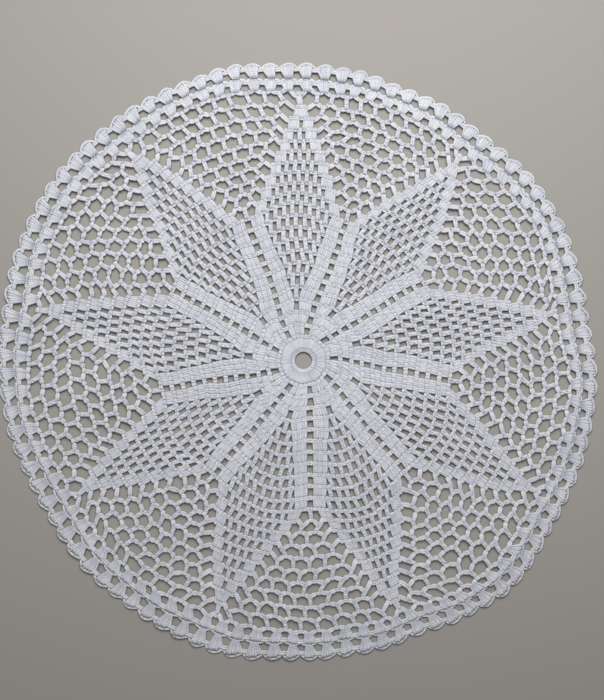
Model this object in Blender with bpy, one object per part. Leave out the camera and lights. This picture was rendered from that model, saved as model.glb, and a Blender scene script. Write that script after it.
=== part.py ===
"""A round lace doily, crocheted in one piece from cotton thread, lying flat.

Nine pointed leaves run out from a small centre hole. An open net fills the nine wedges between
the leaves' outer halves, and two rounds of slanted blocks close the edge in 99 scallops. The
solid is one flat sheet with the outline, the centre hole and the net's four widest rounds of gaps.

Lengths are in metres. Angles are in degrees, clockwise from +Y as seen from above.
"""

import math

import bmesh
import bpy

# The cloth
THICKNESS = 0.0018
CENTRE_HOLE_RADIUS = 0.0048
CENTRE_HOLE_SIDES = 20

# The rounds, counted from the centre
LEAF_ROUNDS = 12  # up to here the leaves widen, and then the net opens between them
NET_ROUNDS = 22  # the last round of the net
FIRST_OPEN_ROUND = 19  # from here on the net's gaps are open in the solid
FIRST_ROUND_RADIUS = 0.01235
LEAF_ROUND_HEIGHT = 0.00555
NET_ROUND_HEIGHT = 0.00621
NET_EASES = 1.045  # over 1, the net's rounds get a little taller outwards
LEAF_BULGE = 0.0042  # how much further out the leaves' widest round lies on a leaf's axis
OVAL = 0.0019  # how far that round is pulled out along one diagonal, and in across it
OVAL_ANGLE = 150.0

# The stitches
POST_WIDTH = 0.0020
EDGE_BLOCK_WIDTH = 0.00525  # the solid stitches along each side of a leaf's point
MESH_PITCH = 0.0041
BAR_WIDTH = 0.0015  # the chain between two rounds of gaps
TIP_HALF_WIDTHS = {21: 0.0037, 22: 0.0015}  # the leaf's last two rounds are solid

# The lean that the work takes
SWAY = 0.0029  # how far the leaves' inner parts lie to the anticlockwise side
SWAY_FADES_OVER = 0.060
LAST_ROUNDS_LEAN = {21: -0.3, 22: -0.8}

# The leaves, as unevenly stretched as they lie: the angle of each tip, the radii of the net's
# last round and of the rim at that angle, and both radii midway to the next leaf
LEAVES = (
    {"tip": -0.3, "net": 0.1333, "rim": 0.1497, "net_after": 0.1320, "rim_after": 0.1473},
    {"tip": 38.6, "net": 0.1290, "rim": 0.1461, "net_after": 0.1327, "rim_after": 0.1473},
    {"tip": 79.5, "net": 0.1280, "rim": 0.1458, "net_after": 0.1337, "rim_after": 0.1476},
    {"tip": 120.0, "net": 0.1348, "rim": 0.1507, "net_after": 0.1390, "rim_after": 0.1529},
    {"tip": 159.5, "net": 0.1340, "rim": 0.1500, "net_after": 0.1355, "rim_after": 0.1506},
    {"tip": 199.6, "net": 0.1345, "rim": 0.1526, "net_after": 0.1358, "rim_after": 0.1523},
    {"tip": 240.0, "net": 0.1323, "rim": 0.1511, "net_after": 0.1370, "rim_after": 0.1533},
    {"tip": 281.5, "net": 0.1355, "rim": 0.1539, "net_after": 0.1395, "rim_after": 0.1557},
    {"tip": 320.8, "net": 0.1373, "rim": 0.1546, "net_after": 0.1368, "rim_after": 0.1526},
)

# The edging
SCALLOPS_A_LEAF = 11
VALLEY_DEPTH = 0.0027
SCALLOP = (
    # how far along the scallop, and how high from its valley to its top
    {"along": 0.0, "height": 0.0},
    {"along": 0.25, "height": 0.68},
    {"along": 0.60, "height": 1.0},
    {"along": 0.85, "height": 0.62},
)

COTTON = (0.86, 0.87, 0.90, 1.0)
COTTON_ROUGHNESS = 0.85


def clear_scene():
    for item in list(bpy.data.objects):
        bpy.data.objects.remove(item, do_unlink=True)


def ease(share):
    """A smooth step from 0 to 1."""
    share = min(max(share, 0.0), 1.0)
    return share * share * (3.0 - 2.0 * share)


def next_tip(leaf):
    """The tip's angle of the leaf after this one, counted on past 360."""
    following = (leaf + 1) % len(LEAVES)
    return LEAVES[following]["tip"] + (360.0 if following == 0 else 0.0)


def around(angle, at_tip, past_tip):
    """A value that runs smoothly round the doily, from its values at the tips and midway on."""
    angle = (angle - LEAVES[0]["tip"]) % 360.0 + LEAVES[0]["tip"]
    for leaf, row in enumerate(LEAVES):
        end = next_tip(leaf)
        if angle <= end:
            share = 2.0 * (angle - row["tip"]) / (end - row["tip"])
            following = LEAVES[(leaf + 1) % len(LEAVES)]
            if share < 1.0:
                return at_tip(row) + (past_tip(row) - at_tip(row)) * ease(share)
            return past_tip(row) + (at_tip(following) - past_tip(row)) * ease(share - 1.0)
    return at_tip(LEAVES[0])


def rim_radius(angle):
    return around(angle, lambda row: row["rim"], lambda row: row["rim_after"])


def net_edge_radius(angle):
    """Where the net's last round ends and the edging starts."""
    return around(angle, lambda row: row["net"], lambda row: row["net_after"])


def plain_radius(round_number):
    """The outer radius of a round before the doily is pulled out of round."""
    leaf_rounds = min(round_number, LEAF_ROUNDS) - 1
    net_rounds = max(round_number - LEAF_ROUNDS, 0)
    return FIRST_ROUND_RADIUS + leaf_rounds * LEAF_ROUND_HEIGHT + net_rounds * NET_ROUND_HEIGHT


def bulge(round_number, angle):
    """How much further out a round of the net lies for being near a leaf's axis."""
    shrinking = max(NET_ROUNDS - 1 - round_number, 0) / (NET_ROUNDS - 1 - LEAF_ROUNDS)
    axis = around(angle, lambda row: 1.0, lambda row: 0.0)
    return LEAF_BULGE * shrinking**1.3 * axis


def net_start_radius(angle):
    """Where the leaves' widest round ends and the net starts."""
    turn = math.radians(2.0 * (angle - OVAL_ANGLE))
    return plain_radius(LEAF_ROUNDS) + OVAL * math.cos(turn)


def round_radius(round_number, angle):
    """The outer radius of a round of the net, at an angle."""
    start = net_start_radius(angle)
    share = ((round_number - LEAF_ROUNDS) / (NET_ROUNDS - LEAF_ROUNDS)) ** NET_EASES
    return start + (net_edge_radius(angle) - start) * share + bulge(round_number, angle)


def leaf_axis(leaf, round_number):
    """The angle of a leaf's middle on a round."""
    if round_number in LAST_ROUNDS_LEAN:
        return LEAVES[leaf]["tip"] + LAST_ROUNDS_LEAN[round_number]
    radius = plain_radius(round_number)
    share = min(max((plain_radius(NET_ROUNDS - 1) - radius) / SWAY_FADES_OVER, 0.0), 1.0)
    return LEAVES[leaf]["tip"] - math.degrees(SWAY * share / radius)


def leaf_half_width(round_number):
    """Half of a leaf's width on a round past its widest."""
    if round_number in TIP_HALF_WIDTHS:
        return TIP_HALF_WIDTHS[round_number]
    holes = NET_ROUNDS - 1 - round_number
    return EDGE_BLOCK_WIDTH + (holes * MESH_PITCH - POST_WIDTH) / 2.0


def net_gaps(round_number):
    """How many gaps the net has between two leaves on a round."""
    return round_number - LEAF_ROUNDS + 1


def net_angles(leaf, round_number):
    """The angles of the net's posts after a leaf, from that leaf's edge to the next leaf's."""
    half = math.degrees(leaf_half_width(round_number) / plain_radius(round_number))
    start = leaf_axis(leaf, round_number) + half
    following = (leaf + 1) % len(LEAVES)
    end = leaf_axis(following, round_number) - half + (360.0 if following == 0 else 0.0)
    gaps = net_gaps(round_number)
    return [start + (end - start) * i / gaps for i in range(gaps + 1)]


def place(radius, angle):
    turn = math.radians(angle)
    return (radius * math.sin(turn), radius * math.cos(turn))


def centre_hole():
    step = 360.0 / CENTRE_HOLE_SIDES
    return [place(CENTRE_HOLE_RADIUS, i * step) for i in range(CENTRE_HOLE_SIDES)]


def net_gap(leaf, round_number, gap):
    """The four corners of a gap: the posts beside it lean from the gaps' middles below."""
    above = net_angles(leaf, round_number)
    below = net_angles(leaf, round_number - 1)
    last = net_gaps(round_number) - 1
    corners = []
    for post, side in ((gap, 1.0), (gap + 1, -1.0)):
        at_leaf = post in (0, last + 1)
        inset = 0.0 if at_leaf else math.degrees(POST_WIDTH / 2.0 / plain_radius(round_number))
        top = above[post] + side * inset
        foot = above[post] if at_leaf else (below[post - 1] + below[post]) / 2.0
        foot += side * inset
        inner = round_radius(round_number - 1, foot) + BAR_WIDTH / 2.0
        outer = round_radius(round_number, top) - BAR_WIDTH / 2.0
        pair = [place(inner, foot), place(outer, top)]
        corners += pair if side > 0.0 else pair[::-1]
    return corners


def scallop_valleys():
    """The angles between the edging's blocks, one for each post of the net's last round."""
    return [angle for leaf in range(len(LEAVES)) for angle in net_angles_of_edge(leaf)]


def net_angles_of_edge(leaf):
    """The valleys from a leaf's tip on: the tip counts as a post between two nets."""
    start = leaf_axis(leaf, NET_ROUNDS)
    following = (leaf + 1) % len(LEAVES)
    end = leaf_axis(following, NET_ROUNDS) + (360.0 if following == 0 else 0.0)
    return [start + (end - start) * i / SCALLOPS_A_LEAF for i in range(SCALLOPS_A_LEAF)]


def outline():
    """The scalloped rim, clockwise."""
    valleys = scallop_valleys()
    points = []
    for start, end in zip(valleys, valleys[1:] + [valleys[0] + 360.0]):
        for row in SCALLOP:
            angle = start + (end - start) * row["along"]
            depth = VALLEY_DEPTH * (1.0 - row["height"])
            points.append(place(rim_radius(angle) - depth, angle))
    return points


def middle_of(points):
    """The middle of the box round the points."""
    return [(min(p[i] for p in points) + max(p[i] for p in points)) / 2.0 for i in range(2)]


def open_gaps():
    rounds = range(FIRST_OPEN_ROUND, NET_ROUNDS + 1)
    return [
        net_gap(leaf, number, gap)
        for number in rounds
        for leaf in range(len(LEAVES))
        for gap in range(net_gaps(number))
    ]


def cotton():
    material = bpy.data.materials.new("white cotton thread")
    material.use_nodes = True
    shader = material.node_tree.nodes["Principled BSDF"]
    shader.inputs["Base Color"].default_value = COTTON
    shader.inputs["Roughness"].default_value = COTTON_ROUGHNESS
    shader.inputs["Metallic"].default_value = 0.0
    return material


def add_loop(sheet, points, middle):
    """Adds a closed row of edges, placed so that the doily's box is centred on the origin."""
    corners = [sheet.verts.new((x - middle[0], y - middle[1], 0.0)) for x, y in points]
    for i, corner in enumerate(corners):
        sheet.edges.new((corner, corners[(i + 1) % len(corners)]))


def make_doily():
    rim = outline()
    middle = middle_of(rim)
    sheet = bmesh.new()
    for points in [rim, centre_hole(), *open_gaps()]:
        add_loop(sheet, points, middle)
    bmesh.ops.triangle_fill(sheet, use_beauty=True, use_dissolve=False, edges=sheet.edges[:])
    raised = bmesh.ops.extrude_face_region(sheet, geom=sheet.faces[:])["geom"]
    corners = [item for item in raised if isinstance(item, bmesh.types.BMVert)]
    bmesh.ops.translate(sheet, verts=corners, vec=(0.0, 0.0, THICKNESS))
    bmesh.ops.recalc_face_normals(sheet, faces=sheet.faces[:])
    mesh = bpy.data.meshes.new("doily")
    sheet.to_mesh(mesh)
    sheet.free()
    mesh.materials.append(cotton())
    doily = bpy.data.objects.new("doily", mesh)
    bpy.context.collection.objects.link(doily)
    return doily


def main():
    clear_scene()
    make_doily()


main()
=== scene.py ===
"""A round lace doily crocheted in white cotton, made stitch by stitch.

The doily has nine repeats, each a pointed leaf and the ladder or net that follows it clockwise.
Each stitch is a few short strands of thread: a post is two strands side by side, with a wrap
across it where it stands alone, and the chain along the top of every round is one loop after
another. The edging's bars are posts too, and a cord runs over them. The strands of a repeat are
joined in one mesh.

Lengths are in metres. Angles are in degrees, clockwise from +Y as seen from above.
"""

import math

import bpy
import numpy as np
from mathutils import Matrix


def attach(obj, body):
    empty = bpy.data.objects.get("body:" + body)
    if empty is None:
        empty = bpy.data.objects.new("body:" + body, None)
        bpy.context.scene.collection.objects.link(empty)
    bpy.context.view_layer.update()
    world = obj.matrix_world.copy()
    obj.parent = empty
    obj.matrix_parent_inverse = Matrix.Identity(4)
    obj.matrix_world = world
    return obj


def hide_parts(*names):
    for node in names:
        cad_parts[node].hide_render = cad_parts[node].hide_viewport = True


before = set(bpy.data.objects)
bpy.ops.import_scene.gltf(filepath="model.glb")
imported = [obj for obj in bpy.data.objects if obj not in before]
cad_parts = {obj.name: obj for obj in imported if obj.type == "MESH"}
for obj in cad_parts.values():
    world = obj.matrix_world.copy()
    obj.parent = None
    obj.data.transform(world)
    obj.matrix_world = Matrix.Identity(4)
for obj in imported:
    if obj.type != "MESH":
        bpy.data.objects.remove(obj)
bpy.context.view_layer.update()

# The doily as it lies
CENTRE = (0.00332, 0.00046)  # the middle of the centre hole
MID_HEIGHT = 0.0006  # how high the middle of its thickness is where it lies lowest

# The rounds, counted from the centre
LEAF_ROUNDS = 12  # up to here the leaves widen, and then the net opens between them
NET_ROUNDS = 22
MESH_ROUNDS = {"first": 4, "last": 20}  # in both of them the leaf's mesh is one space
FIRST_ROUND_RADIUS = 0.01235
LEAF_ROUND_HEIGHT = 0.00555
NET_ROUND_HEIGHT = 0.00621
NET_GROWTH_POWER = 1.045  # above 1, so the net's first rounds are a little lower than its last

# How the rounds are pulled out of round
LEAF_BULGE = {"most": 0.0042, "growth_power": 0.7, "shrinkage_power": 1.3}
OVAL = {"most": 0.0019, "longest_at": 150.0}
SWAY = {"most": 0.0029, "fades_over": 0.060}  # how far anticlockwise of its tip a leaf's middle is
LAST_ROUNDS_LEAN = {21: -0.3, 22: -0.8}  # how far clockwise of it the last rounds are, in degrees

# The leaves, clockwise: the angle of each one's tip, and the radii of the net's last round and of
# the rim, at the tip and midway to the next tip
LEAVES = (
    {"tip": -0.3, "net": 0.1333, "rim": 0.1491, "net_after": 0.1320, "rim_after": 0.1464},
    {"tip": 38.6, "net": 0.1290, "rim": 0.1455, "net_after": 0.1327, "rim_after": 0.1477},
    {"tip": 79.5, "net": 0.1280, "rim": 0.1458, "net_after": 0.1337, "rim_after": 0.1476},
    {"tip": 120.0, "net": 0.1348, "rim": 0.1501, "net_after": 0.1390, "rim_after": 0.1543},
    {"tip": 159.5, "net": 0.1340, "rim": 0.1497, "net_after": 0.1355, "rim_after": 0.1502},
    {"tip": 199.6, "net": 0.1345, "rim": 0.1538, "net_after": 0.1358, "rim_after": 0.1523},
    {"tip": 240.0, "net": 0.1323, "rim": 0.1511, "net_after": 0.1370, "rim_after": 0.1533},
    {"tip": 281.5, "net": 0.1355, "rim": 0.1539, "net_after": 0.1395, "rim_after": 0.1557},
    {"tip": 320.8, "net": 0.1373, "rim": 0.1546, "net_after": 0.1368, "rim_after": 0.1526},
)

# Widths along a round
FIRST_ROUND_HALF = 15.0  # half of a leaf's width on the first round, in degrees
BAND_POSTS = 3  # in the band along each side of a leaf
BAND_STITCH = 0.0021
NARROW_BAND_STITCH = 0.00175  # the same where the leaf narrows
MESH_POST = 0.0023
MESH_SPACE = 0.0019
LADDER_WIDTH = 0.0030
TIP_HALF_WIDTHS = {21: 0.0026, 22: 0.0011}

# The chain over a space: its loops, one or two, and how far the next round's post pulls it out
LOOPS = {"mesh": 1, "ladder": 2, "arc": 2}
LADDER_PEAK = 0.0003
ARC_PEAK = 0.0016
ARC_PEAK_SPREAD = (0.4, 1.4)  # the least and the most, as shares of the peak
LEAF_ARC_PEAKS = {"first": 0.0024, "last": 0.0028}  # the arcs that start or end on a leaf
LEAF_ARC_DROP = 0.0016  # how far down the leaf's side they are caught

# A leaf's posts in the rounds where it has no mesh, and near its start and its tip the items of
# the round below that they are worked into
LEAF_POSTS = {1: 3, 2: 3, 3: 5, 21: 5, 22: 1}
LEAF_FEET = {
    2: [0, 1, 2],
    3: [0, 0, 1, 2, 2],
    4: [0, 0, 1, 3, 4, 4],
    21: [1, 2, 3, 4, 5],
    22: [1, 2, 3],
}
WIDEST_POST = {"alone": 0.0025, "in_band": 0.0031}
SHARED_FOOT = 0.22  # how far off the middle of a shared stitch each foot is, as a share of it
FOOT_IN_STITCH = 0.0003  # how far below the top of a stitch a post in it starts
FOOT_OVER_CHAIN = 0.0007  # how far below a chain, or the ring, a post over it starts

# The ring that the first round is worked over
RING_RADIUS = 0.0056
RING_FOOT_WIDTH = 1.2  # as a share of the post's part of the ring
RING_STRANDS = (
    {"radius": 0.0049, "height": 0.0003},
    {"radius": 0.0056, "height": 0.0005},
    {"radius": 0.0053, "height": -0.0002},
)
RING_POINTS = 9
RING_LAP = 2.0  # how far each leaf's part of the ring runs into the next, in degrees

# The edging, as shares of its depth from the net's last round to the rim. Its scallops are worked
# into the spaces of that round.
SCALLOPS_A_LEAF = NET_ROUNDS - LEAF_ROUNDS + 1
EDGING = (
    {"corner": 0.375, "top": 0.46, "joint": 0.335, "joint_width": 0.0021},
    {"corner": 0.752, "top": 0.975, "joint": 0.742, "joint_width": 0.0018},
)
FIRST_NECK = 0.02  # where the inner blocks fan out from
EDGE_HOOK = -0.02  # where the outer blocks do, from the tops of the inner ones
EDGE_JITTER = 0.15  # how far a block's top leans to either side at most, in degrees
EDGE_LAP = 0.20  # how far each block reaches past its own part of the edge, in degrees
JOINT_REACH = 1.20  # how far the joint of two blocks reaches to each side, in degrees

# A block's bars: each foot as a share of the block's width to the right of the neck, and each top
# as a share of the way over the block from left to right
BARS = ({"foot": -0.11, "top": 0.20}, {"foot": 0.0, "top": 0.45}, {"foot": 0.11, "top": 0.70})
BAR_WIDTHS = {"foot": 0.105, "top": 0.29}  # as shares of the block's width
PEAK = 0.68  # where a block is tallest, as a share of the way from left to right
PEAK_LEAN = 0.65  # the same place, in degrees from the block's middle
BLOCK_BOW = {"left": 0.0007, "right": 0.0006}  # how far its top bows out on each side of the peak
CORD_STEPS = 6
CORD_HEIGHT = -0.0001

# The thread, laid flat: each strand is wider than it is high
POST_HALF_WIDTHS = {"alone": 0.32, "in_band": 0.34}  # as shares of the post's width
HALF_WIDTHS = {"wrap": 0.00055, "top": 0.00062, "link": 0.00079, "cord": 0.00072, "ring": 0.00070}
THREAD_HALF_HEIGHT = 0.00038
THREAD_SIDES = 6
SIDE_TURNS = 2.0 * math.pi * np.arange(THREAD_SIDES) / THREAD_SIDES
TAPER = 0.75  # a strand's end, as a share of its middle

# The strands of a post: across as a share of its width where it stands alone, and in a band of
# posts, along as a share of its height from foot to top, the height above the cloth's middle, and
# what its foot over a chain adds to that
POST_STRANDS = {
    "left": {
        "across": (-0.36, -0.30, -0.21, -0.19, -0.22, -0.25),
        "in_band": -0.25,
        "along": (0.02, 0.16, 0.34, 0.53, 0.72, 0.90),
        "height": (-0.0002, 0.0002, 0.0003, 0.0003, 0.0003, 0.0002),
        "over_chain": (0.0002, 0.0006, 0.0001, 0.0, 0.0, 0.0),
    },
    "right": {
        "across": (0.32, 0.30, 0.23, 0.19, 0.19, 0.27),
        "in_band": 0.25,
        "along": (0.02, 0.16, 0.34, 0.53, 0.72, 0.90),
        "height": (-0.0002, 0.0003, 0.0003, 0.0002, 0.0002, 0.0002),
        "over_chain": (0.0002, 0.0004, 0.0, 0.0, 0.0, 0.0),
    },
}

# Painted shade on a post's strands from foot to top, darkest at their ends where they go down into
# the work under the loops, and on any strand's sides, from 0 to 1
POST_PAINTED_SHADE = (0.9, 0.85, 0.25, 0.0, 0.15, 0.7)
SIDE_PAINTED_SHADE = 0.7

# The thread thrown round a post, which shows where the post stands alone
WRAP = {
    "across": (-0.36, -0.14, 0.14, 0.36),
    "in_band": 0.0,
    "along": (0.38, 0.46, 0.58, 0.66),
    "height": (0.0, 0.0005, 0.0005, 0.0),
    "over_chain": (0.0, 0.0, 0.0, 0.0),
}

# One loop of chain: down one leg to its tail, in the loop before it, and up the other. Along is
# a share of the way from its start to its head, and across is in metres.
LINK = {
    "along": (0.98, 0.60, 0.20, -0.12, 0.20, 0.60, 0.98),
    "across": (0.00042, 0.00052, 0.00042, 0.0, -0.00042, -0.00052, -0.00042),
    "height": (0.0002, 0.0004, 0.0003, 0.0, 0.0003, 0.0004, 0.0002),
}

# The loop at the top of a post, which is drawn tighter and lies over the post
STITCH_TOP = {
    "along": (1.02, 0.62, 0.20, -0.08, 0.20, 0.62, 1.02),
    "across": (0.00040, 0.00046, 0.00036, 0.0, -0.00036, -0.00046, -0.00040),
    "height": (0.0002, 0.0004, 0.0003, 0.0001, 0.0003, 0.0004, 0.0002),
}

# How unevenly it is worked
WIDTH_JITTER = 0.10  # as a share of a stitch's width
LEAF_JITTER = 0.00045
NET_JITTER = 0.00055
NET_SWAY = {"most": 0.0012, "turns": 4.5, "step": 75.0}  # how the net's posts lean, by regions
HOOK_JITTER = 0.16  # as a share of a space's width
HEIGHT_JITTER = 0.00005

# How unevenly it lies: two wobbles along the floor, and a swell off it. Nearly everywhere they
# move it by less than twice their size.
WOBBLES = (
    {"wavelength": 0.045, "size": 0.00035},
    {"wavelength": 0.011, "size": 0.00012},
)
CALM_RADIUS = 0.014  # inside this the centre's ring holds the stitches to their places
SWELL = {"wavelength": 0.050, "size": 0.00035, "seed": 100}
WAVES_A_WOBBLE = 14
WAVELENGTH_SPREAD = (0.7, 1.4)

# Where a strand lies in its own cell of the OFBake map
ATLAS = {
    "low": 0.03,
    "along": 0.87,
    "round": 0.94,
    "end_at": 0.955,
    "end_heights": (0.25, 0.75),
    "end_radius": 0.035,
}

# The cotton's twist
TWIST = {"Lay": 0.0018, "Plies": 2.0, "Fibre": 0.25}
RIDGE_POWER = 0.6  # below 1, so the plies are round and the grooves between them narrow
FIBRES_ROUND = 9.0
FIBRES_ALONG = 900.0
PLY_DEPTH = 0.00018
BUMP_STRENGTH = 0.8

# The cotton's tones: clouds and each strand's own tone take it from its shade to its light
# colour, and painted shade in the grooves between the plies, deep in the work and on each strand's
# sides takes it from there to its darkest colour, the painted shade
CLOUD_SIZE = 0.040
CLOUD_SPREAD = 2.0  # brings the noise, which keeps near its middle, to about -1 to 1
NOISE_DETAIL = 2.0
CLOUD_TONE = 0.25
STRAND_TONE = 0.45
# Painted shade: how much the grooves between the plies, and the strands' ends and sides, are
# painted darker
GROOVE_SHADE = 0.45
PAINTED_SHADE_WEIGHT = 0.70
COTTON_LIGHT = (0.93, 0.935, 0.97, 1.0)
COTTON_SHADE = (0.73, 0.735, 0.795, 1.0)
COTTON_PAINTED_SHADE = (0.42, 0.44, 0.50, 1.0)
COTTON_ROUGHNESS = 0.72
GROOVE_ROUGHNESS = 0.15  # what the grooves add to it
COTTON_SHINE = {"Specular IOR Level": 0.3, "Sheen Weight": 0.25, "Sheen Roughness": 0.5}

# The flat area of one leaf with its net: the centre hole's radius, and the step of the angle it is
# summed over
HOLE_RADIUS = 0.0048
AREA_STEP = 0.25  # in degrees

# The floor, the light and the camera
FLOOR_HALF = 3.0
FLOOR_COLOUR = (0.37, 0.347, 0.316, 1.0)
FLOOR_ROUGHNESS = 0.7
WORLD_COLOUR = (0.93, 0.96, 1.0, 1.0)
WORLD_STRENGTH = 0.136
LIGHTS = (
    {"name": "window", "at": (0.04, 0.34, 0.50), "size": 0.5, "watts": 4.0},
    {"name": "fill", "at": (-0.50, -0.50, 0.90), "size": 1.0, "watts": 0.39},
)
CAMERA = {"lens": 50.0, "sensor": 36.0, "near": 0.01, "view_height": 0.35, "at": (0.0026, 0.0057)}

rng = np.random.default_rng(11)


def ease(share):
    share = min(max(share, 0.0), 1.0)
    return share * share * (3.0 - 2.0 * share)


def towards(start, end, share):
    return start + (end - start) * share


def place(radius, angle):
    turn = math.radians(angle)
    return np.array((radius * math.sin(turn), radius * math.cos(turn)))


def unit(vectors):
    return vectors / np.linalg.norm(vectors, axis=-1, keepdims=True)


def left_of(ways):
    """The directions square to some ways over the floor, on their left."""
    return unit(np.stack((-ways[..., 1], ways[..., 0]), axis=-1))


def next_tip(leaf):
    following = (leaf + 1) % len(LEAVES)
    return LEAVES[following]["tip"] + (360.0 if following == 0 else 0.0)


def around(angle, at_tip, past_tip):
    """A value that runs smoothly round the doily, from its values at the tips and midway on."""
    angle = (angle - LEAVES[0]["tip"]) % 360.0 + LEAVES[0]["tip"]
    for leaf, row in enumerate(LEAVES):
        end = next_tip(leaf)
        if angle <= end:
            share = 2.0 * (angle - row["tip"]) / (end - row["tip"])
            following = LEAVES[(leaf + 1) % len(LEAVES)]
            if share < 1.0:
                return towards(at_tip(row), past_tip(row), ease(share))
            return towards(past_tip(row), at_tip(following), ease(share - 1.0))
    return at_tip(LEAVES[0])


def rim_radius(angle):
    return around(angle, lambda row: row["rim"], lambda row: row["rim_after"])


def net_edge_radius(angle):
    return around(angle, lambda row: row["net"], lambda row: row["net_after"])


def plain_radius(number):
    """The outer radius of a round before the doily is pulled out of round."""
    leaf_rounds = min(number, LEAF_ROUNDS) - 1
    net_rounds = max(number - LEAF_ROUNDS, 0)
    return FIRST_ROUND_RADIUS + leaf_rounds * LEAF_ROUND_HEIGHT + net_rounds * NET_ROUND_HEIGHT


def sway_angle(number):
    """How far a leaf's middle lies to the anticlockwise side of its tip."""
    radius = plain_radius(number)
    inside = plain_radius(NET_ROUNDS - 1) - radius
    share = min(max(inside / SWAY["fades_over"], 0.0), 1.0)
    return math.degrees(SWAY["most"] * share / radius)


def bulge(number, angle):
    """How much further out a round lies for being near a leaf's middle."""
    growing = number / LEAF_ROUNDS
    shrinking = max(NET_ROUNDS - 1 - number, 0) / (NET_ROUNDS - 1 - LEAF_ROUNDS)
    share = min(growing ** LEAF_BULGE["growth_power"], shrinking ** LEAF_BULGE["shrinkage_power"])
    most = LEAF_BULGE["most"] * share
    return most * around(angle + sway_angle(number), lambda row: 1.0, lambda row: 0.0)


def round_radius(number, angle):
    """The radius of the chain along the top of a round."""
    plain = plain_radius(number)
    widest = plain_radius(LEAF_ROUNDS)
    pulled = OVAL["most"] * math.cos(math.radians(2.0 * (angle - OVAL["longest_at"])))
    if number <= LEAF_ROUNDS:
        return plain + pulled * (plain / widest) ** 2 + bulge(number, angle)
    share = ((number - LEAF_ROUNDS) / (NET_ROUNDS - LEAF_ROUNDS)) ** NET_GROWTH_POWER
    return towards(widest + pulled, net_edge_radius(angle), share) + bulge(number, angle)


def leaf_axis(leaf, number):
    """The angle of a leaf's middle on a round. Leaves past the last count on past 360."""
    turns, leaf = divmod(leaf, len(LEAVES))
    tip = LEAVES[leaf]["tip"] + 360.0 * turns
    return tip + LAST_ROUNDS_LEAN.get(number, -sway_angle(number))


def leaf_edges(leaf, number):
    """The angles at which a leaf's stitches start and end on a round."""
    radius = plain_radius(number)
    axis = leaf_axis(leaf, number)
    if number == 1:
        return axis - FIRST_ROUND_HALF, axis + FIRST_ROUND_HALF
    if number > LEAF_ROUNDS:
        holes = MESH_ROUNDS["last"] - number + 1
        mesh = holes * (MESH_POST + MESH_SPACE) - MESH_POST
        half = BAND_POSTS * NARROW_BAND_STITCH + mesh / 2.0
        half = math.degrees(TIP_HALF_WIDTHS.get(number, half) / radius)
        return axis - half, axis + half
    ladder = math.degrees(LADDER_WIDTH / radius) / 2.0
    before = (leaf_axis(leaf - 1, number) + axis) / 2.0 + ladder
    after = (axis + leaf_axis(leaf + 1, number)) / 2.0 - ladder
    return before, after


# The chart: what each round holds, and what each stitch is worked into. A leaf's items are its
# posts and spaces in clockwise order, and the net's items are those up to the next leaf.


def leaf_items(number):
    """A leaf's posts and spaces on a round, clockwise, as (kind, width)."""
    if number in LEAF_POSTS:
        return [("post", BAND_STITCH)] * LEAF_POSTS[number]
    widening = number <= LEAF_ROUNDS
    posts = number - MESH_ROUNDS["first"] if widening else MESH_ROUNDS["last"] - number
    band = [("post", BAND_STITCH if widening else NARROW_BAND_STITCH)] * BAND_POSTS
    mesh = [("space", MESH_SPACE), ("post", MESH_POST)] * posts + [("space", MESH_SPACE)]
    return band + mesh + band


def leaf_feet(number):
    """The items of the round below that a leaf's posts are worked into, as their indices."""
    if number in LEAF_FEET:
        return LEAF_FEET[number]
    below = len(leaf_items(number - 1))
    inset = 0 if number <= LEAF_ROUNDS else 1
    left = [inset + i for i in range(BAND_POSTS)]
    mesh = list(range(BAND_POSTS + 2 * inset, below - BAND_POSTS - 2 * inset, 2))
    right = [below - BAND_POSTS - inset + i for i in range(BAND_POSTS)]
    return left + mesh + right


def spread_out(kinds, start, end):
    """Items side by side from one angle to another, a little uneven."""
    widths = np.array([width for _, width in kinds])
    widths = widths * rng.uniform(1.0 - WIDTH_JITTER, 1.0 + WIDTH_JITTER, len(widths))
    bounds = towards(start, end, np.concatenate(([0.0], np.cumsum(widths) / widths.sum())))
    among = [kind for kind, _ in kinds]
    items = []
    for i, (kind, left, right) in enumerate(zip(among, bounds, bounds[1:])):
        if kind == "space":
            items.append(space(left, right, LOOPS["mesh"], 0.0))
            continue
        beside = (among[max(i - 1, 0)], among[min(i + 1, len(among) - 1)])
        items.append(stitch_top(left, right, beside == ("space", "space")))
    return items


def round_item(kind, start, end, hook, loops=1, peak=0.0, alone=False):
    """A post's top or a space, with how far its chain drops at its ends and rises at its hook."""
    return {
        "kind": kind,
        "start": start,
        "end": end,
        "hook": hook,
        "loops": loops,
        "peak": peak,
        "drops": {"start": 0.0, "end": 0.0},
        "alone": alone,
    }


def stitch_top(start, end, alone):
    """The top of a post in a round. It is alone where it has a space on either side."""
    return round_item("post", start, end, (start + end) / 2.0, alone=alone)


def space(start, end, loops, peak):
    """A space under a length of chain, which the next round's post pulls out at its hook."""
    hook = towards(start, end, 0.5 + rng.uniform(-HOOK_JITTER, HOOK_JITTER))
    return round_item("space", start, end, hook, loops, peak)


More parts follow.
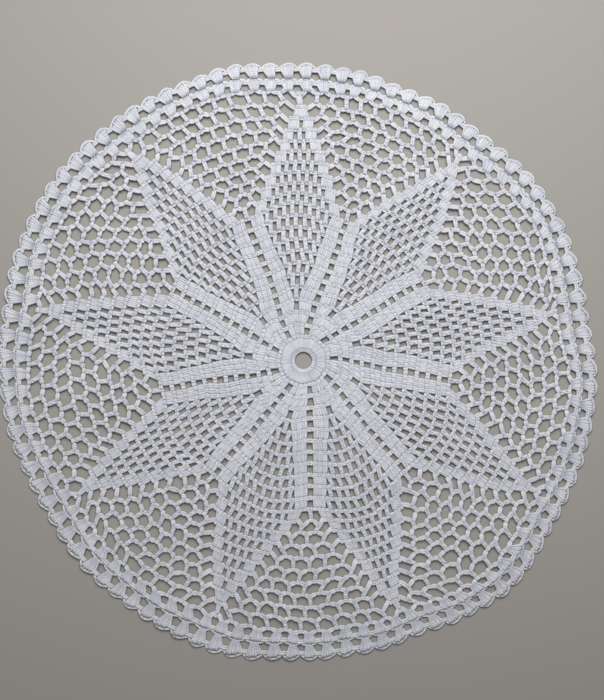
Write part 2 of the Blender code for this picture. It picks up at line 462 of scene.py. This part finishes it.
def net_items(number, start, end):
    """The ladder's one space, or the net's spaces and posts, from one leaf to the next."""
    if number == 1:
        return [stitch_top(start, end, False)]
    if number <= LEAF_ROUNDS:
        return [space(start, end, LOOPS["ladder"], LADDER_PEAK)]
    gaps = number - LEAF_ROUNDS + 1
    radius = plain_radius(number)
    half = math.degrees(MESH_POST / 2.0 / radius)
    centres = start + (end - start) * np.arange(1, gaps) / gaps
    phases = np.radians(NET_SWAY["turns"] * centres + NET_SWAY["step"] * number)
    sway = NET_SWAY["most"] * np.sin(phases)
    centres += np.degrees((rng.uniform(-NET_JITTER, NET_JITTER, gaps - 1) + sway) / radius)
    items = []
    at = start
    for centre in centres:
        peak = ARC_PEAK if items else LEAF_ARC_PEAKS["first"]
        peak *= rng.uniform(*ARC_PEAK_SPREAD)
        items.append(space(at, centre - half, LOOPS["arc"], peak))
        at = centre + half
        items.append(stitch_top(centre - half, at, True))
    items.append(space(at, end, LOOPS["arc"], LEAF_ARC_PEAKS["last"]))
    items[0]["drops"]["start"] = LEAF_ARC_DROP
    items[-1]["drops"]["end"] = LEAF_ARC_DROP
    return items


def uneven_edges(number):
    """The leaves' edges on a round, each a little off its place, and the first leaf's again."""
    edges = np.array([leaf_edges(leaf, number) for leaf in range(len(LEAVES) + 1)])
    moves = rng.uniform(-LEAF_JITTER, LEAF_JITTER, edges.shape)
    edges += np.degrees(moves / plain_radius(number))
    edges[0, 0] = edges[-1, 0] - 360.0
    return edges


def work_round(number):
    """The items of a round for each leaf, as a pair: the leaf's, and the net's after it."""
    edges = uneven_edges(number)
    return [
        (
            spread_out(leaf_items(number), *edges[leaf]),
            net_items(number, edges[leaf][1], edges[leaf + 1][0]),
        )
        for leaf in range(len(LEAVES))
    ]


def chain_radius(number, item, angle):
    """The radius of a round's top at an angle within one of its items."""
    side = "start" if angle < item["hook"] else "end"
    share = (angle - item[side]) / (item["hook"] - item[side])
    rise = item["peak"] * share - item["drops"][side] * (1.0 - share)
    return round_radius(number, angle) + rise


def item_width(number, item):
    return math.radians(item["end"] - item["start"]) * plain_radius(number)


def middle(item):
    return (item["start"] + item["end"]) / 2.0


# The stitches, each placed flat: a post from its foot to its top, and a loop of chain from its
# start to its head


def post(foot, top, foot_width, top_width, over, alone=False):
    """A post as a row: its foot and top, the width at each, whether its foot goes over a chain, the
    ring or a block's neck (1.0) or into a stitch (0.0), and whether it stands alone."""
    widest = WIDEST_POST["alone" if alone else "in_band"]
    widths = (min(foot_width, widest), min(top_width, widest))
    return (*foot, *top, *widths, over, float(alone))


def foot_in(number, item, shift):
    """Where a post is worked into an item of the round below, its width there, and 1.0 where it
    goes over a chain."""
    angle = item["hook"]
    if item["kind"] == "space":
        foot = place(chain_radius(number, item, angle) - FOOT_OVER_CHAIN, angle)
        return foot, MESH_POST, 1.0
    width = item_width(number, item)
    angle += shift * (item["end"] - item["start"])
    foot = place(chain_radius(number, item, angle) - FOOT_IN_STITCH, angle)
    return foot, width * (1.0 - abs(shift)), 0.0


def posts_of(number, items, below, feet):
    """The posts among some items, worked into the named items of the round below."""
    tops = [item for item in items if item["kind"] == "post"]
    if number == NET_ROUNDS and len(tops) == 1:
        tops = tops * len(feet)  # the leaf's last stitches are drawn together at the top
    posts = []
    for i, (item, index) in enumerate(zip(tops, feet)):
        twice = feet.count(index) == 2
        first = feet.index(index) == i
        shift = (-SHARED_FOOT if first else SHARED_FOOT) if twice else 0.0
        foot, width, over = foot_in(number - 1, below[index], shift)
        top = place(chain_radius(number, item, middle(item)), middle(item))
        posts.append(post(foot, top, width, item_width(number, item), over, item["alone"]))
    return posts


def first_posts(items):
    """The posts of the first round, worked over a ring of thread."""
    posts = []
    for item in items:
        foot = place(RING_RADIUS - FOOT_OVER_CHAIN, middle(item))
        top = place(round_radius(1, middle(item)), middle(item))
        width = math.radians(item["end"] - item["start"]) * RING_RADIUS
        posts.append(post(foot, top, width * RING_FOOT_WIDTH, item_width(1, item), 1.0))
    return posts


def links_of(number, items, kind):
    """The loops of chain along the top of the items of a kind. The work runs anticlockwise."""
    links = []
    for item in items:
        if item["kind"] != kind:
            continue
        stops = ("end", "start") if item["loops"] == 1 else ("end", "hook", "start")
        points = [place(chain_radius(number, item, item[stop]), item[stop]) for stop in stops]
        links += [(*start, *head) for start, head in zip(points, points[1:])]
    return links


# The edging: two rounds of blocks, one over the other. A block is three bars that fan out under a
# cord, with a short bar across the joint between it and the next.


def bowed(start, end, share, most):
    """A point on the way from start to end, which bows out to its left."""
    out = left_of(end - start)
    return towards(start, end, share) + out * most * 4.0 * share * (1.0 - share)


def over_block(left, top, right, share):
    """A point on the rounded top of a block, at a share of the way from left to right."""
    if share < PEAK:
        return bowed(left, top, share / PEAK, BLOCK_BOW["left"])
    return bowed(top, right, (share - PEAK) / (1.0 - PEAK), BLOCK_BOW["right"])


def block(neck, left, right, top):
    """Three bars that fan out from the neck, and the cord over their tops."""
    width = np.hypot(*(right - left))
    widths = (width * BAR_WIDTHS["foot"], width * BAR_WIDTHS["top"])
    posts = []
    for row in BARS:
        foot = neck + (right - left) * row["foot"]
        posts.append(post(foot, over_block(left, top, right, row["top"]), *widths, 1.0))
    cord = [over_block(left, top, right, step / CORD_STEPS) for step in range(CORD_STEPS + 1)]
    return posts, cord


def valley_angle(leaf, valley):
    """The angle between two blocks: the leaf's tip counts as a post between two nets."""
    start = leaf_axis(leaf, NET_ROUNDS)
    end = leaf_axis(leaf + 1, NET_ROUNDS)
    return start + (end - start) * valley / SCALLOPS_A_LEAF


def edge_place(angle, share):
    """A point in the edging, from 0 at the net's last round to 1 at the rim."""
    return place(towards(net_edge_radius(angle), rim_radius(angle), share), angle)


def edging(leaf, net):
    """The blocks over a leaf's net, worked into the spaces of the net's last round."""
    spaces = [item for item in net if item["kind"] == "space"]
    posts, cords = [], []
    for valley, item in enumerate(spaces):
        ends = valley_angle(leaf, valley), valley_angle(leaf, valley + 1)
        neck = edge_place(item["hook"], FIRST_NECK)
        for row in EDGING:
            left = edge_place(ends[0] - EDGE_LAP, row["corner"])
            right = edge_place(ends[1] + EDGE_LAP, row["corner"])
            angle = sum(ends) / 2.0 + rng.uniform(-EDGE_JITTER, EDGE_JITTER)
            bars, cord = block(neck, left, right, edge_place(angle + PEAK_LEAN, row["top"]))
            reach = (-JOINT_REACH, JOINT_REACH)
            joint = [edge_place(ends[1] + turn, row["joint"]) for turn in reach]
            posts += bars
            posts.append(post(*joint, row["joint_width"], row["joint_width"], 0.0))
            cords.append(cord)
            neck = edge_place(angle, row["top"] + EDGE_HOOK)
    return posts, cords


def crochet():
    """Every stitch of the doily: each leaf's posts, their tops, the chain and the edge cords."""
    repeats = [{"posts": [], "tops": [], "links": []} for _ in LEAVES]
    below = None
    for number in range(1, NET_ROUNDS + 1):
        row = work_round(number)
        for leaf, (items, net) in enumerate(row):
            made = repeats[leaf]
            made["tops"] += links_of(number, items + net, "post")
            made["links"] += links_of(number, items + net, "space")
            if number == 1:
                made["posts"] += first_posts(items + net)
                continue
            made["posts"] += posts_of(number, items, below[leaf][0], leaf_feet(number))
            if number > LEAF_ROUNDS:
                spaces = list(range(0, len(below[leaf][1]), 2))
                made["posts"] += posts_of(number, net, below[leaf][1], spaces)
        below = row
    for leaf, (_, net) in enumerate(below):
        posts, repeats[leaf]["cords"] = edging(leaf, net)
        repeats[leaf]["posts"] += posts
    return [{name: np.array(rows) for name, rows in made.items()} for made in repeats]


# The thread: strands laid along the stitches, and tubes round the strands


def waves(points, wavelength, seed):
    """A slow random height over the floor, mostly between -2 and 2."""
    count = WAVES_A_WOBBLE
    draw = np.random.default_rng(seed)
    turns = draw.uniform(0.0, 2.0 * math.pi, count)
    phases = draw.uniform(0.0, 2.0 * math.pi, count)
    steps = 2.0 * math.pi / (wavelength * draw.uniform(*WAVELENGTH_SPREAD, count))
    total = np.zeros(points.shape[:-1])
    for turn, phase, step in zip(turns, phases, steps):
        along = points[..., 0] * math.cos(turn) + points[..., 1] * math.sin(turn)
        total += np.cos(step * along + phase)
    return total / math.sqrt(count / 2.0)


def as_it_lies(paths):
    """Paths moved as unevenly as the doily lies, and set down at their real place."""
    flat = paths[..., :2]
    free = np.clip(np.linalg.norm(flat, axis=-1, keepdims=True) / CALM_RADIUS, 0.0, 1.0) ** 2
    for seed, wobble in enumerate(WOBBLES):
        moves = [waves(paths, wobble["wavelength"], 2 * seed + i) for i in range(2)]
        flat = flat + np.stack(moves, axis=-1) * wobble["size"] * free
    swell = (waves(paths, SWELL["wavelength"], SWELL["seed"]) + 2.0) / 2.0
    height = paths[..., 2] + MID_HEIGHT + SWELL["size"] * np.clip(swell, 0.0, 2.0)
    return np.concatenate((flat + CENTRE, height[..., None], paths[..., 3:]), axis=-1)


def strand_paths(flat, height, half_width, painted_shade=0.0):
    """Paths over flat points: each point has x, y, its height, a little uneven, the strand's half
    width there and the painted shade there, for how deep in the work it lies."""
    uneven = rng.uniform(-HEIGHT_JITTER, HEIGHT_JITTER, (len(flat), 1))
    heights = np.broadcast_to(height + uneven, flat.shape[:2])
    widths = np.broadcast_to(half_width, flat.shape[:2])
    painted_shades = np.broadcast_to(painted_shade, flat.shape[:2])
    return np.concatenate((flat, np.stack((heights, widths, painted_shades), axis=-1)), axis=-1)


def post_paths(posts, strand):
    """One strand of each post."""
    foot, top, foot_width, top_width, over, alone = np.split(posts[:, None], (2, 4, 5, 6, 7), -1)
    alone = alone.astype(bool)
    along = np.array(strand["along"])[:, None]
    across = np.where(alone, np.array(strand["across"])[:, None], strand["in_band"])
    width = towards(foot_width, top_width, along)
    flat = towards(foot, top, along) - left_of(top - foot) * width * across
    height = np.array(strand["height"]) + over[..., 0] * np.array(strand["over_chain"])
    if strand is WRAP:
        return strand_paths(flat, height, HALF_WIDTHS["wrap"])
    half_width = width * np.where(alone, POST_HALF_WIDTHS["alone"], POST_HALF_WIDTHS["in_band"])
    return strand_paths(flat, height, half_width[..., 0], POST_PAINTED_SHADE)


def link_paths(links, loop):
    """One loop of chain over each link."""
    start, head = np.split(links[:, None], 2, -1)
    along, across = np.array(loop["along"])[:, None], np.array(loop["across"])[:, None]
    flat = towards(start, head, along) + left_of(head - start) * across
    half_width = HALF_WIDTHS["top" if loop is STITCH_TOP else "link"]
    return strand_paths(flat, np.array(loop["height"]), half_width)


def cord_paths(cords):
    """The cords over the blocks of the edging, smoothed."""
    between = (cords[:, :-2] + cords[:, 2:]) / 2.0
    flat = cords.copy()
    flat[:, 1:-1] = (cords[:, 1:-1] + between) / 2.0
    return strand_paths(flat, CORD_HEIGHT, HALF_WIDTHS["cord"])


def ring_paths(leaf):
    """The ring that the first round is worked over, along one leaf's part of the hole."""
    start, end = leaf_edges(leaf, 1)[0] - RING_LAP, leaf_edges(leaf + 1, 1)[0] + RING_LAP
    angles = np.radians(np.linspace(start, end, RING_POINTS))
    circle = np.stack((np.sin(angles), np.cos(angles)), axis=-1)
    flat = np.array([circle * row["radius"] for row in RING_STRANDS])
    height = np.array([[row["height"]] for row in RING_STRANDS])
    return strand_paths(flat, height, HALF_WIDTHS["ring"])


def strands(made, leaf):
    """The strands of a repeat, in groups of one kind."""
    posts = made["posts"]
    alone = posts[:, -1].astype(bool)
    groups = [post_paths(posts, strand) for strand in POST_STRANDS.values()]
    groups.append(post_paths(posts[alone], WRAP))
    groups += [link_paths(made["tops"], STITCH_TOP), link_paths(made["links"], LINK)]
    groups += [cord_paths(made["cords"]), ring_paths(leaf)]
    return [as_it_lies(paths) for paths in groups]


def tube_points(paths):
    """Rings of points round each step of each path."""
    middles, half_widths = paths[..., :3], paths[..., None, 3:4]
    way = unit(np.gradient(middles, axis=1))
    side = unit(np.cross(way, (0.0, 0.0, 1.0)))
    up = np.cross(side, way)
    taper = np.ones(paths.shape[1])
    taper[[0, -1]] = TAPER
    wide = side[:, :, None] * half_widths * np.cos(SIDE_TURNS)[:, None]
    high = up[:, :, None] * THREAD_HALF_HEIGHT * np.sin(SIDE_TURNS)[:, None]
    return middles[:, :, None] + (wide + high) * taper[:, None, None]


def tube_painted_shades(paths):
    """The painted shade at each of the tubes' points: deep in the work, and on the tubes' sides."""
    return np.maximum(paths[..., 4:], SIDE_PAINTED_SHADE * np.cos(SIDE_TURNS) ** 2)


def side_corners(steps):
    """The corners of a tube's side faces as (step, turn) pairs. A turn may be one past the last."""
    step, turn = np.meshgrid(np.arange(steps - 1), np.arange(THREAD_SIDES), indexing="ij")
    step, turn = step.ravel(), turn.ravel()
    corners = ((step, turn), (step + 1, turn), (step + 1, turn + 1), (step, turn + 1))
    return np.stack([np.stack(corner, axis=-1) for corner in corners], axis=1)


def end_corners(steps):
    """The corners of a tube's two end faces, as (step, turn) pairs."""
    turn = np.arange(THREAD_SIDES)
    near = np.stack((np.zeros_like(turn), turn), axis=-1)
    far = np.stack((np.full_like(turn, steps - 1), turn[::-1]), axis=-1)
    return np.stack((near, far))


def numbers_of(corners, count, steps):
    """The point numbers of the same corners on each of a group's tubes."""
    one = corners[..., 0] * THREAD_SIDES + corners[..., 1] % THREAD_SIDES
    first = np.arange(count) * steps * THREAD_SIDES
    return (first[:, None, None] + one).reshape(-1, corners.shape[1])


def thread_uv(corners, paths):
    """Distance along the thread in metres, and turns round it."""
    lengths = np.linalg.norm(np.diff(paths[..., :3], axis=1), axis=-1).sum(axis=1)
    along = lengths[:, None, None] * corners[..., 0] / (paths.shape[1] - 1)
    turns = np.broadcast_to(corners[..., 1] / THREAD_SIDES, along.shape)
    return np.stack((along, turns), axis=-1).reshape(-1, 2)


def atlas_sides(corners, steps, cells, grid):
    """Each tube unrolled in its own cell of the map."""
    share = corners / (steps - 1, THREAD_SIDES)
    within = ATLAS["low"] + share * (ATLAS["along"], ATLAS["round"])
    return ((cells[:, None, None] + within) / grid).reshape(-1, 2)


def atlas_ends(cells, grid):
    """The two end faces beside their tube in its cell."""
    outline = ATLAS["end_radius"] * np.stack((np.cos(SIDE_TURNS), np.sin(SIDE_TURNS)), axis=-1)
    middles = np.array([(ATLAS["end_at"], height) for height in ATLAS["end_heights"]])
    return ((cells[:, None, None] + middles[:, None] + outline) / grid).reshape(-1, 2)


def new_mesh(name, points, faces, smooth):
    """A mesh of arrays of faces, each array with its own number of corners a face."""
    mesh = bpy.data.meshes.new(name)
    sizes = np.concatenate([np.full(len(rows), rows.shape[1]) for rows in faces])
    corners = np.concatenate([rows.ravel() for rows in faces])
    mesh.vertices.add(len(points))
    mesh.vertices.foreach_set("co", points.ravel())
    mesh.loops.add(len(corners))
    mesh.loops.foreach_set("vertex_index", corners)
    mesh.polygons.add(len(sizes))
    mesh.polygons.foreach_set("loop_start", np.cumsum(sizes) - sizes)
    mesh.polygons.foreach_set("use_smooth", smooth)
    return mesh


def thread_mesh(name, groups):
    """One mesh of the tubes round some groups of paths, with its two maps, its tone and its painted
    shade.
    """
    grid = math.ceil(math.sqrt(sum(len(paths) for paths in groups)))
    points, faces, smooth, tones, painted_shades, thread_map, atlas = [], [], [], [], [], [], []
    first_point, first_cell = 0, 0
    for paths in groups:
        count, steps, _ = paths.shape
        corners, ends = side_corners(steps), end_corners(steps)
        order = np.arange(first_cell, first_cell + count)
        cells = np.stack((order % grid, order // grid), axis=-1)
        points.append(tube_points(paths).reshape(-1, 3))
        faces += [first_point + numbers_of(part, count, steps) for part in (corners, ends)]
        thread_map += [thread_uv(part, paths) for part in (corners, ends)]
        atlas += [atlas_sides(corners, steps, cells, grid), atlas_ends(cells, grid)]
        smooth += [np.ones(len(faces[-2]), bool), np.zeros(len(faces[-1]), bool)]
        tones.append(np.repeat(rng.uniform(-1.0, 1.0, count), steps * THREAD_SIDES))
        painted_shades.append(tube_painted_shades(paths).ravel())
        first_point += count * steps * THREAD_SIDES
        first_cell += count

    mesh = new_mesh(name, np.concatenate(points), faces, np.concatenate(smooth))
    for layer, rows in (("thread", thread_map), ("OFBake", atlas)):
        mesh.uv_layers.new(name=layer).data.foreach_set("uv", np.concatenate(rows).ravel())
    for attribute, rows in (("tone", tones), ("painted_shade", painted_shades)):
        layer = mesh.attributes.new(attribute, "FLOAT", "POINT")
        layer.data.foreach_set("value", np.concatenate(rows))
    mesh.update(calc_edges=True)
    return mesh


# The cotton


def new_group(name, inputs, outputs):
    """A shader node group, the sockets inside it that give its inputs, and those that take its
    outputs."""
    group = bpy.data.node_groups.new(name, "ShaderNodeTree")
    for side, sockets in (("INPUT", inputs), ("OUTPUT", outputs)):
        for socket in sockets:
            group.interface.new_socket(socket, in_out=side, socket_type="NodeSocketFloat")
    nodes = group.nodes
    return group, nodes.new("NodeGroupInput").outputs, nodes.new("NodeGroupOutput").inputs


def put(socket, value):
    """Gives a socket a value, or a link from another socket."""
    if isinstance(value, bpy.types.NodeSocket):
        socket.id_data.links.new(value, socket)
    else:
        socket.default_value = value


def math_node(tree, operation, *values):
    node = tree.nodes.new("ShaderNodeMath")
    node.operation = operation
    for socket, value in zip(node.inputs, values):
        put(socket, value)
    return node.outputs[0]


def noise(tree, vector, scale):
    node = tree.nodes.new("ShaderNodeTexNoise")
    put(node.inputs["Vector"], vector)
    put(node.inputs["Scale"], scale)
    put(node.inputs["Detail"], NOISE_DETAIL)
    return node.outputs["Fac"]


def ply_twist_group():
    """Plies wound round each other, with fine fibres along each: the height, and the grooves."""
    group, given, out = new_group("ply twist", TWIST, ("Height", "Groove"))
    uv = group.nodes.new("ShaderNodeUVMap")
    uv.uv_map = "thread"
    parts = group.nodes.new("ShaderNodeSeparateXYZ")
    put(parts.inputs[0], uv.outputs["UV"])
    wound = math_node(group, "DIVIDE", parts.outputs["X"], given["Lay"])
    turned = math_node(group, "SUBTRACT", parts.outputs["Y"], wound)
    plies = math_node(group, "MULTIPLY", turned, given["Plies"])
    wave = math_node(group, "SINE", math_node(group, "MULTIPLY", plies, math.pi))
    ridge = math_node(group, "POWER", math_node(group, "ABSOLUTE", wave), RIDGE_POWER)
    lines = group.nodes.new("ShaderNodeCombineXYZ")
    put(lines.inputs["X"], math_node(group, "MULTIPLY", turned, FIBRES_ROUND))
    put(lines.inputs["Y"], math_node(group, "MULTIPLY", parts.outputs["X"], FIBRES_ALONG))
    fibres = noise(group, lines.outputs[0], 1.0)
    put(out["Height"], math_node(group, "MULTIPLY_ADD", fibres, given["Fibre"], ridge))
    put(out["Groove"], math_node(group, "SUBTRACT", 1.0, ridge))
    return group


def tones_and_painted_shade_group():
    """Slow unevenness over the cloth and each strand's own tone, about -1 to 1, and the painted
    shade on its strands.
    """
    group, given, out = new_group("cloudy tones and painted shade", ("Size",), ("Slow", "Strand", "Depth"))
    position = group.nodes.new("ShaderNodeTexCoord").outputs["Object"]
    cloud = noise(group, position, math_node(group, "DIVIDE", 1.0, given["Size"]))
    spread = math_node(group, "MULTIPLY_ADD", cloud, 2.0 * CLOUD_SPREAD, -CLOUD_SPREAD)
    put(out["Slow"], spread)
    for attribute, output in (("tone", "Strand"), ("painted_shade", "Depth")):
        node = group.nodes.new("ShaderNodeAttribute")
        node.attribute_name = attribute
        put(out[output], node.outputs["Fac"])
    return group


def add_group(tree, group, **values):
    node = tree.nodes.new("ShaderNodeGroup")
    node.node_tree = group
    for name, value in values.items():
        put(node.inputs[name], value)
    return node.outputs


def mix_colour(tree, share, low, high):
    """Low where the share is 0, and high where it is 1. The node's sockets share names, so they go
    by number."""
    node = tree.nodes.new("ShaderNodeMix")
    node.data_type = "RGBA"
    node.clamp_factor = True
    put(node.inputs[0], share)
    put(node.inputs[6], low)
    put(node.inputs[7], high)
    return node.outputs[2]


def cotton_material():
    material = bpy.data.materials.new("cotton_thread")
    material.use_nodes = True
    tree = material.node_tree
    shader = tree.nodes["Principled BSDF"]
    twist = add_group(tree, ply_twist_group(), **TWIST)
    cloud = add_group(tree, tones_and_painted_shade_group(), Size=CLOUD_SIZE)
    strand = math_node(tree, "MULTIPLY_ADD", cloud["Strand"], STRAND_TONE, 0.5)
    share = math_node(tree, "MULTIPLY_ADD", cloud["Slow"], CLOUD_TONE, strand)
    thread = mix_colour(tree, share, COTTON_SHADE, COTTON_LIGHT)
    # Painted shade: the grooves between the plies, the posts' ends where they go down under the
    # loops and every strand's sides are painted darker, towards the painted shade colour
    groove = math_node(tree, "MULTIPLY", twist["Groove"], GROOVE_SHADE)
    painted_shade_share = math_node(tree, "MULTIPLY_ADD", cloud["Depth"], PAINTED_SHADE_WEIGHT, groove)
    put(shader.inputs["Base Color"], mix_colour(tree, painted_shade_share, thread, COTTON_PAINTED_SHADE))
    rough = math_node(tree, "MULTIPLY_ADD", twist["Groove"], GROOVE_ROUGHNESS, COTTON_ROUGHNESS)
    put(shader.inputs["Roughness"], rough)
    bump = tree.nodes.new("ShaderNodeBump")
    put(bump.inputs["Strength"], BUMP_STRENGTH)
    put(bump.inputs["Distance"], PLY_DEPTH)
    put(bump.inputs["Height"], twist["Height"])
    put(shader.inputs["Normal"], bump.outputs[0])
    for socket, value in COTTON_SHINE.items():
        shader.inputs[socket].default_value = value
    return material


# The pieces


def new_object(name, data):
    made = bpy.data.objects.new(name, data)
    bpy.context.scene.collection.objects.link(made)
    return made


def repeat_area(leaf):
    """The flat area of one leaf with its net, inside the rim and outside the centre hole."""
    angles = np.arange(valley_angle(leaf, 0), valley_angle(leaf, SCALLOPS_A_LEAF), AREA_STEP)
    rim = np.array([rim_radius(angle) for angle in angles])
    return float(np.sum(rim**2 - HOLE_RADIUS**2) * math.radians(AREA_STEP) / 2.0)


cotton = cotton_material()
for leaf, made in enumerate(crochet()):
    name = f"doily_leaf_{leaf + 1}"
    piece = new_object(name, thread_mesh(name, strands(made, leaf)))
    piece.data.materials.append(cotton)
    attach(piece, "root")
    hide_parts("doily")
    repeat_area(leaf)


# The floor, the light and the camera


def plain_material(name, colour, roughness):
    material = bpy.data.materials.new(name)
    material.use_nodes = True
    shader = material.node_tree.nodes["Principled BSDF"]
    shader.inputs["Base Color"].default_value = colour
    shader.inputs["Roughness"].default_value = roughness
    return material


def floor():
    mesh = bpy.data.meshes.new("floor")
    sides = ((-1, -1), (1, -1), (1, 1), (-1, 1))
    corners = [(x * FLOOR_HALF, y * FLOOR_HALF, 0.0) for x, y in sides]
    mesh.from_pydata(corners, [], [(0, 1, 2, 3)])
    mesh.materials.append(plain_material("floor", FLOOR_COLOUR, FLOOR_ROUGHNESS))
    new_object("floor", mesh)


def area_light(name, at, size, watts):
    light = bpy.data.lights.new(name, "AREA")
    light.size = size
    light.energy = watts
    lamp = new_object(name, light)
    lamp.location = at
    lamp.rotation_euler = (-lamp.location).to_track_quat("-Z", "Y").to_euler()


def studio():
    floor()
    for row in LIGHTS:
        area_light(**row)
    world = bpy.data.worlds.new("studio")
    world.use_nodes = True
    background = world.node_tree.nodes["Background"]
    background.inputs["Color"].default_value = WORLD_COLOUR
    background.inputs["Strength"].default_value = WORLD_STRENGTH
    bpy.context.scene.world = world
    bpy.context.scene.view_settings.view_transform = "Standard"


def camera():
    lens = bpy.data.cameras.new("camera")
    lens.lens = CAMERA["lens"]
    lens.sensor_width = CAMERA["sensor"]
    lens.clip_start = CAMERA["near"]
    made = new_object("camera", lens)
    reach = CAMERA["view_height"] * CAMERA["lens"] / CAMERA["sensor"]
    made.location = (*CAMERA["at"], MID_HEIGHT + reach)
    bpy.context.scene.camera = made


studio()
camera()
